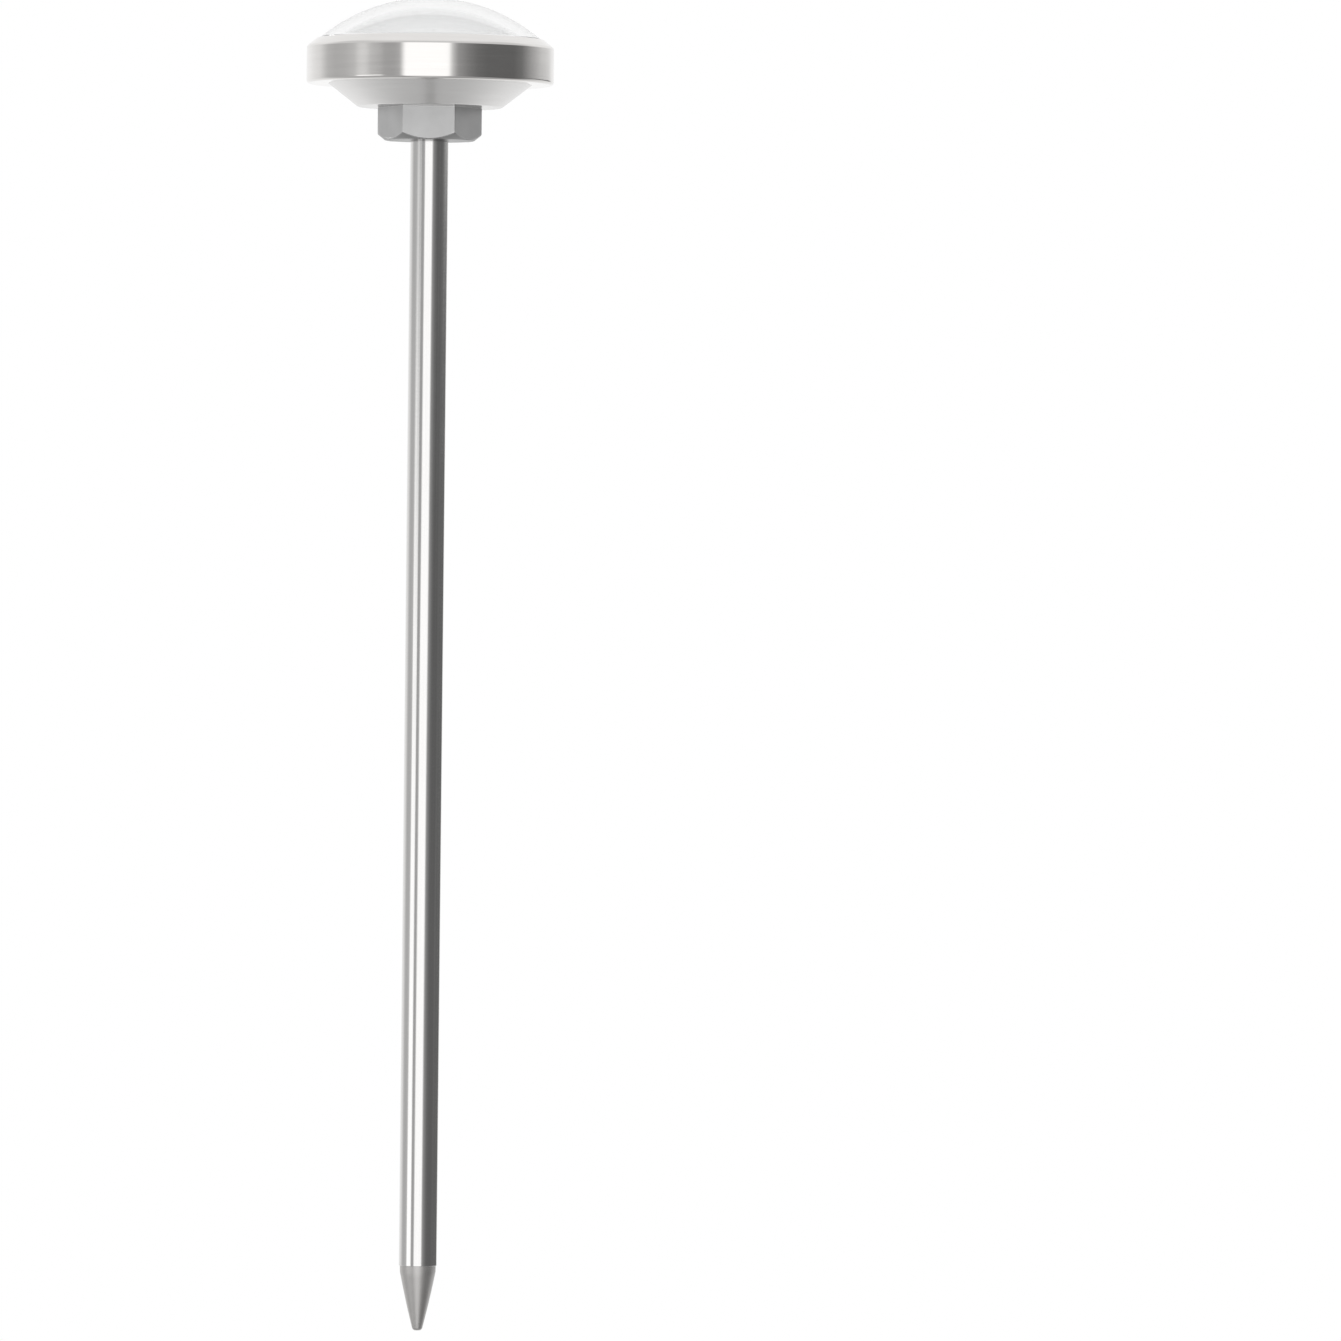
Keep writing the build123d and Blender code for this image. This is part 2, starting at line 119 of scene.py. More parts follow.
def closed(name, verts, faces):
    """A mesh of millimetre points, with its normals turned outwards."""
    built = bmesh.new()
    corners = [built.verts.new(Vector(v) * MM) for v in verts]
    for face in faces:
        loop = list(dict.fromkeys(face))
        if len(loop) > 2:
            built.faces.new([corners[i] for i in loop])
    bmesh.ops.recalc_face_normals(built, faces=built.faces)
    mesh = bpy.data.meshes.new(name)
    built.to_mesh(mesh)
    built.free()
    return mesh


def arc(centre, radius, start, end, steps=FILLET_STEPS):
    """Points of a circular arc, with its angles in degrees."""
    points = []
    for i in range(steps + 1):
        angle = math.radians(start + (end - start) * i / steps)
        points.append(centre + radius * Vector((math.cos(angle), math.sin(angle))))
    return points


def rounded(*corners):
    """A closed outline from (radius, level, fillet) corners, with loops that keep its flats flat."""
    points = []
    for i, (r, z, fillet) in enumerate(corners):
        here = Vector((r, z))
        if not fillet:
            points.append(here)
            continue
        back = Vector(corners[i - 1][:2]) - here
        ahead = Vector(corners[(i + 1) % len(corners)][:2]) - here
        half = back.angle(ahead) / 2
        reach = fillet / math.tan(half)
        middle = (back.normalized() + ahead.normalized()).normalized()
        centre = here + middle * fillet / math.sin(half)
        start = here + back.normalized() * reach - centre
        turn = math.degrees(start.angle_signed(here + ahead.normalized() * reach - centre))
        first = math.degrees(math.atan2(start.y, start.x))
        points.append(here + back.normalized() * (reach + SUPPORT))
        points += arc(centre, fillet, first, first - turn)
        points.append(here + ahead.normalized() * (reach + SUPPORT))
    return points


def lathe(name, outline, turns=TURNS):
    """Turns a closed (radius, level) outline round Z."""
    verts, rings = [], []
    for r, z in outline:
        if r < 1e-6:
            rings.append([len(verts)] * turns)
            verts.append((0, 0, z))
            continue
        rings.append([len(verts) + j for j in range(turns)])
        for j in range(turns):
            angle = math.tau * j / turns
            verts.append((r * math.cos(angle), r * math.sin(angle), z))
    return closed(name, verts, skin(rings))


def skin(rings):
    """Faces between rings of vertex numbers, the last ring joined to the first."""
    faces = []
    for i, ring in enumerate(rings):
        after = rings[(i + 1) % len(rings)]
        for j in range(len(ring)):
            k = (j + 1) % len(ring)
            faces.append((ring[j], ring[k], after[k], after[j]))
    return faces


def slab(name, polygons, low, high, hole=0):
    """One flat solid from overlapping convex 2D polygons, with a round hole in its middle if asked."""
    points, faces = [], []
    for polygon in polygons:
        faces.append([len(points) + i for i in range(len(polygon))])
        points += [Vector(p) for p in polygon]
    if hole:
        ring = arc(Vector((0, 0)), hole, 0, 360, 96)[:-1]
        faces.append([len(points) + i for i in range(len(ring))])
        points += ring
    made = geometry.delaunay_2d_cdt(points, [], faces, 0, 1e-6)
    flat, triangles, owners = made[0], made[2], made[5]
    inside = len(polygons)
    kept = [t for t, own in zip(triangles, owners) if own and inside not in own]
    used = sorted({i for t in kept for i in t})
    place = {i: n for n, i in enumerate(used)}
    count = len(used)
    verts = [(*flat[i], low) for i in used] + [(*flat[i], high) for i in used]
    walls = {}
    solid = []
    for triangle in kept:
        a = [place[i] for i in triangle]
        solid.append(tuple(reversed(a)))
        solid.append(tuple(i + count for i in a))
        for i, j in zip(a, a[1:] + a[:1]):
            walls[(i, j)] = None
    for i, j in walls:
        if (j, i) not in walls:
            solid.append((i, j, j + count, i + count))
    return closed(name, verts, solid)


# ---------------------------------------------------------------- material tools


class Tree:
    """A node tree with short ways to add and join nodes."""

    def __init__(self, tree):
        self.tree = tree

    def add(self, kind, **inputs):
        node = self.tree.nodes.new(kind)
        for key, value in inputs.items():
            self.put(node.inputs[key.replace("_", " ")], value)
        return node

    def put(self, socket, value):
        if isinstance(value, bpy.types.NodeSocket):
            self.tree.links.new(value, socket)
        else:
            socket.default_value = value

    def math(self, operation, *values):
        node = self.tree.nodes.new("ShaderNodeMath")
        node.operation = operation
        for socket, value in zip(node.inputs, values):
            self.put(socket, value)
        return node.outputs[0]

    def spread(self, value, low, high, start=0.3, end=0.7, curve="LINEAR"):
        """Maps a value between start and end to the range low to high."""
        node = self.tree.nodes.new("ShaderNodeMapRange")
        node.interpolation_type = curve
        for socket, number in zip(node.inputs, (value, start, end, low, high)):
            self.put(socket, number)
        return node.outputs[0]

    def fade(self, value, start, end, low, high):
        """A smooth step from low to high while the value goes from start to end."""
        return self.spread(value, low, high, start, end, curve="SMOOTHSTEP")

    def blend(self, factor, first, second):
        node = self.tree.nodes.new("ShaderNodeMix")
        node.data_type = "FLOAT"
        for socket, value in zip(node.inputs[:1] + node.inputs[2:4], (factor, first, second)):
            self.put(socket, value)
        return node.outputs[0]

    def vector_math(self, operation, *values):
        node = self.tree.nodes.new("ShaderNodeVectorMath")
        node.operation = operation
        for socket, value in zip(node.inputs, values):
            self.put(socket, value)
        return node


class Nodes(Tree):
    """A material's node tree."""

    def __init__(self, name):
        self.material = bpy.data.materials.new(name)
        self.material.use_nodes = True
        super().__init__(self.material.node_tree)
        self.shader = self.tree.nodes["Principled BSDF"]
        self.output = self.tree.nodes["Material Output"]
        self.place = self.add("ShaderNodeTexCoord").outputs["Object"]

    def noise(self, vector, scale, detail=3, w=None):
        node = self.add("ShaderNodeTexNoise", Vector=vector, Scale=scale, Detail=detail)
        if w is not None:
            node.noise_dimensions = "4D"
            self.put(node.inputs["W"], w)
        return node.outputs["Fac"]

    def mix(self, factor, first, second):
        node = self.tree.nodes.new("ShaderNodeMix")
        node.data_type = "RGBA"
        self.put(node.inputs[0], factor)
        self.put(node.inputs[6], first)
        self.put(node.inputs[7], second)
        return node.outputs[2]

    def lathe_lines(self, round_scale, fine):
        """Noise drawn out round the Z axis: fine across, long along the cut of a lathe."""
        split = self.add("ShaderNodeSeparateXYZ", Vector=self.place)
        flat = self.add("ShaderNodeCombineXYZ", X=split.outputs[0], Y=split.outputs[1]).outputs[0]
        radius = self.vector_math("LENGTH", flat).outputs["Value"]
        sides = self.vector_math("SCALE", self.vector_math("NORMALIZE", flat).outputs[0])
        sides.inputs["Scale"].default_value = round_scale
        level = self.add("ShaderNodeCombineXYZ", Z=self.math("MULTIPLY", split.outputs[2], fine))
        both = self.vector_math("ADD", sides.outputs[0], level.outputs[0]).outputs[0]
        return self.noise(both, 1.0, 2, w=self.math("MULTIPLY", radius, fine))

    def drawn_lines(self, along, fine):
        """Noise drawn out along Z, as on a tube polished lengthways."""
        stretch = self.vector_math("MULTIPLY", self.place, (fine, fine, along))
        return self.noise(stretch.outputs[0], 1.0, 2)

    def bump(self, height, distance, strength=1.0, normal=None):
        node = self.add("ShaderNodeBump", Height=height, Distance=distance * MM, Strength=strength)
        if normal is not None:
            self.put(node.inputs["Normal"], normal)
        return node.outputs[0]

    def set(self, **inputs):
        for key, value in inputs.items():
            self.put(self.shader.inputs[key.replace("_", " ")], value)
        return self.material


def grey(level, warmth=0.0):
    return (level * (1 + warmth), level, level * (1 - warmth), 1)


# ---------------------------------------------------------------- materials


def turned_metal(name, level, warmth, roughness, spread, groove, scale=18000):
    """Bright steel with the fine rings that turning, spinning and polishing leave."""
    n = Nodes(name)
    lines = n.lathe_lines(2.5, scale)
    broad = n.lathe_lines(1.2, scale / 9)
    smudge = n.noise(n.place, 160, 4)
    tone = n.math("ADD", n.math("MULTIPLY", lines, 0.5), n.math("MULTIPLY", broad, 0.5))
    colour = n.mix(n.spread(tone, 0, 1), grey(level * 0.93, warmth), grey(level, warmth))
    rough = n.math("ADD", n.spread(tone, roughness, roughness + spread), n.spread(smudge, 0, spread * 0.6))
    fine = n.bump(lines, groove)
    return n.set(
        Base_Color=colour,
        Metallic=1.0,
        Roughness=rough,
        Normal=n.bump(broad, groove * 2, normal=fine),
    )


def tube_metal(name, level, warmth, roughness):
    """Polished tube: faint lengthwise streaks, a few hairline rubs round it, and handling haze."""
    n = Nodes(name)
    streaks = n.drawn_lines(35, 9000)
    rings = n.lathe_lines(3, 14000)
    haze = n.noise(n.place, 90, 5)
    tone = n.math("ADD", n.math("MULTIPLY", streaks, 0.6), n.math("MULTIPLY", rings, 0.4))
    colour = n.mix(n.spread(tone, 0, 1), grey(level * 0.92, warmth), grey(level, warmth))
    rough = n.math("ADD", n.spread(tone, roughness, roughness + 0.05), n.spread(haze, 0, 0.05))
    fine = n.bump(streaks, 0.0006)
    return n.set(
        Base_Color=colour,
        Metallic=1.0,
        Roughness=rough,
        Normal=n.bump(rings, 0.0005, normal=fine),
    )


def matt_metal(name, level, underside_shade_level, warmth, roughness):
    """Blasted steel: an even fine pebble, edges rubbed a little smoother with a painted highlight in their
    colour, and painted shade on the faces that look downwards.
    """
    n = Nodes(name)
    facing = n.add("ShaderNodeSeparateXYZ", Vector=n.add("ShaderNodeTexCoord").outputs["Normal"]).outputs[2]
    pebble = n.noise(n.place, 14000, 3)
    patch = n.noise(n.place, 420, 4)
    # Edge mask: smoother rubbed edges in the roughness, and a painted highlight that brightens the colour
    # along them.
    edge = n.spread(n.add("ShaderNodeNewGeometry").outputs["Pointiness"], 0, 1, 0.506, 0.545)
    flat = n.mix(n.spread(patch, 0, 1), grey(level * 0.94, warmth), grey(level * 1.03, warmth))
    painted_edge_highlight = n.mix(n.math("MULTIPLY", edge, 0.8), flat, grey(min(level * 1.4, 0.85), warmth))
    # Painted shade: faces that look downwards are darkened towards a fixed grey.
    colour = n.mix(n.spread(facing, 1, 0, -0.7, -0.4), painted_edge_highlight, grey(underside_shade_level, warmth))
    grain = n.spread(pebble, roughness - 0.05, roughness + 0.07)
    rough = n.math("SUBTRACT", grain, n.math("MULTIPLY", edge, 0.12))
    return n.set(
        Base_Color=colour,
        Metallic=1.0,
        Roughness=rough,
        Normal=n.bump(pebble, 0.0015),
    )


def coloured_metal(name, dark, light, roughness):
    """Brass and bimetal, turned or rolled, with a patchy tarnish."""
    n = Nodes(name)
    lines = n.lathe_lines(2.5, 12000)
    tarnish = n.noise(n.place, 900, 5)
    tone = n.math("ADD", n.math("MULTIPLY", lines, 0.4), n.math("MULTIPLY", tarnish, 0.6))
    return n.set(
        Base_Color=n.mix(n.spread(tone, 0, 1), dark, light),
        Metallic=1.0,
        Roughness=n.spread(tone, roughness + 0.1, roughness),
        Normal=n.bump(lines, 0.002),
    )


def paint(name, dark, light, roughness, grain, coat=0.0):
    """Sprayed or printed paint: fine orange peel and a slight unevenness of tone."""
    n = Nodes(name)
    peel = n.noise(n.place, 6000, 3)
    cloud = n.noise(n.place, 380, 4)
    return n.set(
        Base_Color=n.mix(n.spread(cloud, 0, 1), dark, light),
        Roughness=n.spread(peel, roughness - 0.05, roughness + 0.07),
        Coat_Weight=coat,
        Coat_Roughness=0.12,
        Normal=n.bump(peel, grain),
    )


def rubber(name, level):
    """Black rubber with a fine mould grain and specks of pale dust."""
    n = Nodes(name)
    grain = n.noise(n.place, 14000, 4)
    dust = n.noise(n.place, 1500, 5)
    return n.set(
        Base_Color=n.mix(n.spread(dust, 0, 1), grey(level), grey(level * 1.6)),
        Roughness=n.spread(grain, 0.55, 0.8),
        Normal=n.bump(grain, 0.006),
    )


def clear_crystal(name):
    """Clear moulded window, a little grey through its thickness, with a trace of haze in its gloss."""
    n = Nodes(name)
    scuffs = n.noise(n.place, 2600, 5)
    glass = n.set(
        Base_Color=n.mix(n.spread(scuffs, 0, 1), (0.945, 0.948, 0.948, 1), (0.96, 0.962, 0.962, 1)),
        Roughness=n.spread(scuffs, 0.0, 0.008, 0.55, 0.75),
        IOR=1.49,
        Transmission_Weight=1.0,
    )
    passing = n.tree.nodes.new("ShaderNodeBsdfTransparent")
    passing.inputs["Color"].default_value = (0.95, 0.955, 0.955, 1)
    choice = n.tree.nodes.new("ShaderNodeMixShader")
    rays = n.tree.nodes.new("ShaderNodeLightPath")
    n.put(choice.inputs[0], rays.outputs["Is Shadow Ray"])
    n.put(choice.inputs[1], n.shader.outputs[0])
    n.put(choice.inputs[2], passing.outputs[0])
    n.put(n.output.inputs["Surface"], choice.outputs[0])
    return glass


BRASS_DARK, BRASS_LIGHT = (0.45, 0.3, 0.11, 1), (0.74, 0.55, 0.25, 1)
STEM_STEEL = tube_metal("stem_steel", 0.75, 0.01, 0.06)
TIP_STEEL = turned_metal("tip_steel", 0.6, 0.02, 0.38, 0.06, 0.002, 9000)
# 0.3 is the grey of the painted shade on the nut's downward faces.
NUT_STEEL = matt_metal("nut_steel", 0.56, 0.3, 0.0, 0.42)
CASE_STEEL = turned_metal("case_steel", 0.74, 0.01, 0.2, 0.04, 0.0005, 11000)
BEZEL_STEEL = turned_metal("bezel_steel", 0.77, 0.02, 0.07, 0.03, 0.0004)
SPRING_STEEL = turned_metal("spring_steel", 0.5, 0.0, 0.32, 0.1, 0.002, 9000)
SHAFT_STEEL = tube_metal("shaft_steel", 0.56, 0.0, 0.2)
BRASS = coloured_metal("bushing_brass", BRASS_DARK, BRASS_LIGHT, 0.25)
BIMETAL = coloured_metal("bimetal_strip", (0.36, 0.32, 0.26, 1), (0.58, 0.52, 0.42, 1), 0.33)
DIAL_WHITE = paint("dial_paint", (0.78, 0.782, 0.785, 1), (0.83, 0.832, 0.835, 1), 0.42, 0.0015)
PRINT_BLACK = paint("dial_ink", (0.003, 0.003, 0.003, 1), (0.008, 0.008, 0.008, 1), 0.55, 0.001)
POINTER_RED = paint("pointer_paint", (0.64, 0.022, 0.03, 1), (0.7, 0.03, 0.038, 1), 0.36, 0.0015)
CAP_CREAM = paint("cap_plastic", (0.93, 0.915, 0.8, 1), (0.96, 0.945, 0.85, 1), 0.35, 0.001, 0.3)
SPACER_BLACK = paint("spacer_plastic", (0.012, 0.012, 0.0115, 1), (0.02, 0.02, 0.019, 1), 0.5, 0.003)
SEAL_RUBBER = rubber("seal_rubber", 0.018)
CRYSTAL_CLEAR = clear_crystal("crystal_clear")

# Pieces that keep their CAD mesh, since they are inside the stem and the head.
HIDDEN_FINISHES = {
    "neck_seal": SEAL_RUBBER,
    "friction_washer": SPRING_STEEL,
    "retaining_ring": SPRING_STEEL,
    "upper_bearing": BRASS,
    "shaft_guide_lower": BRASS,
    "shaft_guide_middle": BRASS,
    "coil_anchor": BRASS,
    "coil_collar": BRASS,
    "bimetal_coil": BIMETAL,
    "pointer_shaft": SHAFT_STEEL,
}


def finish_hidden_pieces():
    """Gives the CAD meshes that stay their finishes."""
    for node, material in HIDDEN_FINISHES.items():
        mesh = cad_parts[node].data
        mesh.materials.clear()
        mesh.materials.append(material)


# ---------------------------------------------------------------- stem


def stem_tube():
    """Thin tube, reduced at a shoulder where it goes through the nut."""
    shoulder = NUT_LOW.z + 0.1
    outline = rounded(
        (STEM_BORE, TUBE_LOW.z, 0),
        (STEM_RADIUS, TUBE_LOW.z, 0.04),
        (STEM_RADIUS, shoulder, 0.03),
        (TUBE_NECK_RADIUS, shoulder, 0),
        (TUBE_NECK_RADIUS, TUBE_HIGH.z, 0.03),
        (STEM_BORE, TUBE_HIGH.z, 0),
    )
    shown("stem_skin", lathe("stem_skin", outline), "stem", "stem_tube", STEM_STEEL)


def stem_tip():
    """A slightly crowned cone with a rounded end, and a hairline step where it meets the tube."""
    end_radius, nose_radius, crown = 0.55, 0.35, 0.05
    base = TUBE_LOW.z
    cone_low, cone_high, cone_radius = 0.3, base - 0.1, STEM_RADIUS - 0.02
    steps = 12
    taper = []
    for i in range(1, steps):
        t = i / steps
        radius = end_radius + (cone_radius - end_radius) * t + crown * math.sin(math.pi * t)
        taper.append(Vector((radius, cone_low + (cone_high - cone_low) * t)))
    nose = arc(Vector((end_radius - nose_radius, nose_radius)), nose_radius, -90, -12)
    outline = [Vector((0, 0)), *nose, *taper]
    outline += rounded(
        (STEM_RADIUS, base, 0.05),
        (STEM_BORE, base, 0),
        (STEM_BORE, TIP_HIGH.z, 0.1),
        (0, TIP_HIGH.z, 0),
    )
    shown("tip_skin", lathe("tip_skin", outline), "stem", "stem_tip", TIP_STEEL)


# ---------------------------------------------------------------- nut


def hexagon(across_flats, corner_radius, flat_steps=14, corner_steps=5):
    """Outline of a hexagon with rounded corners and two of its flats facing +Y and -Y."""
    points = []
    reach = (across_flats / 2 - corner_radius) / math.cos(math.radians(30))
    for side in range(6):
        corner = math.radians(60 * side)
        centre = reach * Vector((math.cos(corner), math.sin(corner)))
        around = arc(centre, corner_radius, 60 * side - 30, 60 * side + 30, corner_steps)
        points += around
        following = math.radians(60 * side + 60)
        next_centre = reach * Vector((math.cos(following), math.sin(following)))
        after = next_centre + (around[-1] - centre)
        for t in [0.006, *(i / flat_steps for i in range(1, flat_steps)), 0.994]:
            points.append(around[-1].lerp(after, t))
    return points


NUT_FACE_RADIUS = 4.7  # of the flat underside, inside the chamfer
NUT_CHAMFER = math.tan(math.radians(40))
NUT_EDGE = 0.05  # how far its sharp edges are broken


def circle(angles, radius, level):
    return [(radius * math.cos(a), radius * math.sin(a), level) for a in angles]


def nut_body(outer, inner, angles, bottom, top):
    """Rings from the tube's hole over the underside and its chamfer, and up the flats."""

    def flats(outline, lift):
        return [
            (*p, bottom + max(p.length - NUT_FACE_RADIUS, 0) * NUT_CHAMFER + lift) for p in outline
        ]

    return [
        circle(angles, STEM_RADIUS + 0.03, bottom + 0.1),
        circle(angles, STEM_RADIUS + 0.03, bottom + 0.02),
        circle(angles, STEM_RADIUS + 0.06, bottom),
        circle(angles, NUT_FACE_RADIUS - 0.1, bottom),
        circle(angles, NUT_FACE_RADIUS - 0.02, bottom + 0.004),
        circle(angles, NUT_FACE_RADIUS + 0.04, bottom + 0.04 * NUT_CHAMFER),
        flats(inner, -0.01),
        flats(inner, 0.004),
        flats(outer, NUT_EDGE * 0.6),
        flats(outer, NUT_EDGE * 1.6),
        flats(outer, 0.2),
        flats(outer, 0.35),
        [(*p, top - 0.4) for p in outer],
        [(*p, top - 0.2) for p in outer],
        [(*p, top - 0.09) for p in outer],
        [(*p, top - 0.05) for p in outer],
        [(*p, top) for p in inner],
    ]


def nut_neck(angles, bottom, top):
    """Rings over the top face and its seal groove, up the neck and its clip groove, and down the bore."""
    seal_inner, seal_outer, seal_floor = 3.45, 4.15, top - 0.55
    clip_radius, clip_low, clip_high = 2.6, NUT_HIGH.z - 1.15, NUT_HIGH.z - 1.15 + 0.45
    return [
        circle(angles, seal_outer + NUT_EDGE, top),
        circle(angles, seal_outer, top - NUT_EDGE),
        circle(angles, seal_outer, seal_floor),
        circle(angles, seal_inner, seal_floor),
        circle(angles, seal_inner, top - NUT_EDGE),
        circle(angles, seal_inner - NUT_EDGE, top),
        circle(angles, NECK_RADIUS, top),
        circle(angles, NECK_RADIUS, clip_low),
        circle(angles, clip_radius, clip_low),
        circle(angles, clip_radius, clip_high),
        circle(angles, NECK_RADIUS, clip_high),
        circle(angles, NECK_RADIUS, NUT_HIGH.z - 0.1),
        circle(angles, NECK_RADIUS - 0.1, NUT_HIGH.z),
        circle(angles, TUBE_NECK_RADIUS, NUT_HIGH.z),
        circle(angles, TUBE_NECK_RADIUS, bottom + 0.1),
    ]


def hex_nut():
    """Nut chamfered below, with a neck on top that the head turns on."""
    bottom, top = NUT_LOW.z, NUT_LOW.z + 3.5
    across_flats = NUT_HIGH.y - NUT_LOW.y
    outer = hexagon(across_flats, 0.12)
    inner = hexagon(across_flats - 2 * NUT_EDGE, 0.12)
    angles = [math.atan2(p.y, p.x) for p in outer]
    rings = nut_body(outer, inner, angles, bottom, top) + nut_neck(angles, bottom, top)
    count = len(angles)
    numbers = [[i * count + j for j in range(count)] for i in range(len(rings))]
    mesh = closed("nut_skin", [p for ring in rings for p in ring], skin(numbers))
    shown("nut_skin", mesh, "stem", "hex_nut", NUT_STEEL, sharp=24)


# ---------------------------------------------------------------- head


def case_back():
    """Floor, cone and flange pressed in one sheet."""
    floor, hole = CASE_LOW.z, NECK_RADIUS + 0.05
    flange, under = CASE_HIGH.z, BEZEL_LOW.z
    inner_step = CASE_CONE_RADIUS - SHEET
    outline = rounded(
        (hole, floor, 0.05),
        (CASE_FLOOR_RADIUS, floor, 0.4),
        (CASE_CONE_RADIUS, under, 0),
        (CASE_CONE_RADIUS, under + SHEET, 0),
        (CASE_HIGH.x, under + SHEET, 0.03),
        (CASE_HIGH.x, flange, 0.03),
        (inner_step, flange, 0.3),
        (inner_step, under + 0.2, 0.3),
        (CASE_FLOOR_RADIUS - 0.16, floor + SHEET, 0.3),
        (hole, floor + SHEET, 0.05),
    )
    shown("case_skin", lathe("case_skin", outline), "head", "case_back", CASE_STEEL)


def bezel_ring():
    """Rolled ring: straight wall, sloped lip, and a thin rolled edge at the window."""
    outer, low = BEZEL_HIGH.x, BEZEL_LOW.z
    shoulder = low + BEZEL_WALL_HEIGHT
    under_lip = CRYSTAL_LOW.z + CRYSTAL_FLANGE
    outline = rounded(
        (CASE_CONE_RADIUS, low, 0.08),
        (outer, low, 0.34),
        (outer, shoulder, 0.4),
        (BEZEL_MOUTH_RADIUS, shoulder + BEZEL_LIP_RISE, 0.1),
        (BEZEL_MOUTH_RADIUS, under_lip, 0),
        (outer - SHEET, under_lip, 0),
        (outer - SHEET, low + SHEET, 0),
        (CASE_CONE_RADIUS, low + SHEET, 0.05),
    )
    shown("bezel_skin", lathe("bezel_skin", outline, 256), "head", "bezel_ring", BEZEL_STEEL)


def crystal():
    """Domed window of even thickness on a flange, with a short straight step through the bezel's mouth."""
    thickness, step, bore_height = 1.1, 0.85, 0.5
    dome = BEZEL_MOUTH_RADIUS - 0.05
    foot = CRYSTAL_LOW.z + CRYSTAL_FLANGE + step
    rise = CRYSTAL_HIGH.z - foot
    sphere = (dome**2 + rise**2) / (2 * rise)
    middle = Vector((0, CRYSTAL_HIGH.z - sphere))
    inner = sphere - thickness
    inner_foot = CRYSTAL_LOW.z + bore_height
    inner_radius = math.sqrt(inner**2 - (inner_foot - middle.y) ** 2)
    edge = math.degrees(math.asin(dome / sphere))
    inner_edge = math.degrees(math.asin(inner_radius / inner))
    outline = arc(middle, sphere, 90, 90 - edge + 0.4, 56)
    outline += [
        Vector((dome, foot - 0.1)),
        Vector((dome, CRYSTAL_LOW.z + CRYSTAL_FLANGE)),
        Vector((CRYSTAL_HIGH.x, CRYSTAL_LOW.z + CRYSTAL_FLANGE)),
        Vector((CRYSTAL_HIGH.x, CRYSTAL_LOW.z)),
        Vector((inner_radius, CRYSTAL_LOW.z)),
    ]
    outline += arc(middle, inner, 90 - inner_edge, 90, 56)
    mesh = lathe("crystal_skin", outline)
    shown("crystal_skin", mesh, "head", "crystal", CRYSTAL_CLEAR, sharp=30)


def ring(name, node, slot, material, inner, fillet):
    """A flat ring as large as its node, with all four edges rounded."""
    low, high = box_mm(node)
    outline = rounded(
        (inner, low.z, fillet),
        (high.x, low.z, fillet),
        (high.x, high.z, fillet),
        (inner, high.z, fillet),
    )
    shown(name, lathe(name, outline), "head", node, material)


# ---------------------------------------------------------------- dial print

SCALE_END = 120
SCALE_START_ANGLE = 198  # clockwise from the middle mark, degrees
DEGREE_ANGLE = 2.7  # turn of the pointer for each degree
INK_LOW, INK_HIGH = 0.002, 0.016  # above the dial
TICK_INNER = 8.78
UNIT_TICK = (9.74, 0.19)  # outer radius and width
FIVE_TICK = (10.1, 0.31)
TEN_TICK = (9.74, 0.28)
LONG_TICK = (10.78, 0.19)
NUMERAL_RADIUS = 7.38
WIDE_NUMERAL_RADIUS = 6.94
NUMERAL_HEIGHT = 1.92
NUMERAL_ADVANCE = 1.24
STROKE = 0.215
GLYPH_WIDTH = 0.82  # between stroke centres, mm
GLYPH_HEIGHT = NUMERAL_HEIGHT - STROKE
WIDE_NUMERALS = (100, 110)  # set nearer the centre, clear of the ticks
UNIT_CORNER = (-0.56, -10.5)
UNIT_HEIGHT = GLYPH_HEIGHT * 0.94
DEGREE_CENTRE = (-1.1, -9.02)
DEGREE_RADIUS, DEGREE_STROKE = 0.24, 0.15


def clock(value):
    """Unit vector from the dial's centre towards a reading."""
    angle = math.radians(SCALE_START_ANGLE + DEGREE_ANGLE * value)
    return Vector((math.sin(angle), math.cos(angle)))


def bar(value, inner, outer, width):
    """A straight radial mark as a four-cornered polygon."""
    out = clock(value)
    side = Vector((-out.y, out.x)) * width / 2
    return [out * inner - side, out * outer - side, out * outer + side, out * inner + side]


def ticks():
    """One mark for each degree; every fifth and tenth is wider, and every tenth also runs out longer."""
    bars = []
    for value in range(SCALE_END + 1):
        ends = value in (0, SCALE_END)
        if value % 10 == 0:
            bars.append(bar(value, TICK_INNER, LONG_TICK[0] if ends else TEN_TICK[0], TEN_TICK[1]))
            bars.append(bar(value, TICK_INNER, *LONG_TICK))
        elif value % 5 == 0:
            bars.append(bar(value, TICK_INNER, *FIVE_TICK))
        else:
            bars.append(bar(value, TICK_INNER, *UNIT_TICK))
    return bars


def oval(x, y, rx, ry, start, end, power=2.25, steps=26):
    """Part of a squarish oval, in fractions of the glyph's box, with angles in degrees."""
    points = []
    for i in range(steps + 1):
        angle = math.radians(start + (end - start) * i / steps)
        c, s = math.cos(angle), math.sin(angle)
        points.append(
            (
                x + rx * math.copysign(abs(c) ** (2 / power), c),
                y + ry * math.copysign(abs(s) ** (2 / power), s),
            )
        )
    return points


def bend(start, pull, end, steps=10):
    """A quadratic curve between two points."""
    points = []
    for i in range(steps + 1):
        t = i / steps
        points.append(
            tuple((1 - t) ** 2 * a + 2 * t * (1 - t) * b + t * t * c for a, b, c in zip(start, pull, end))
        )
    return points


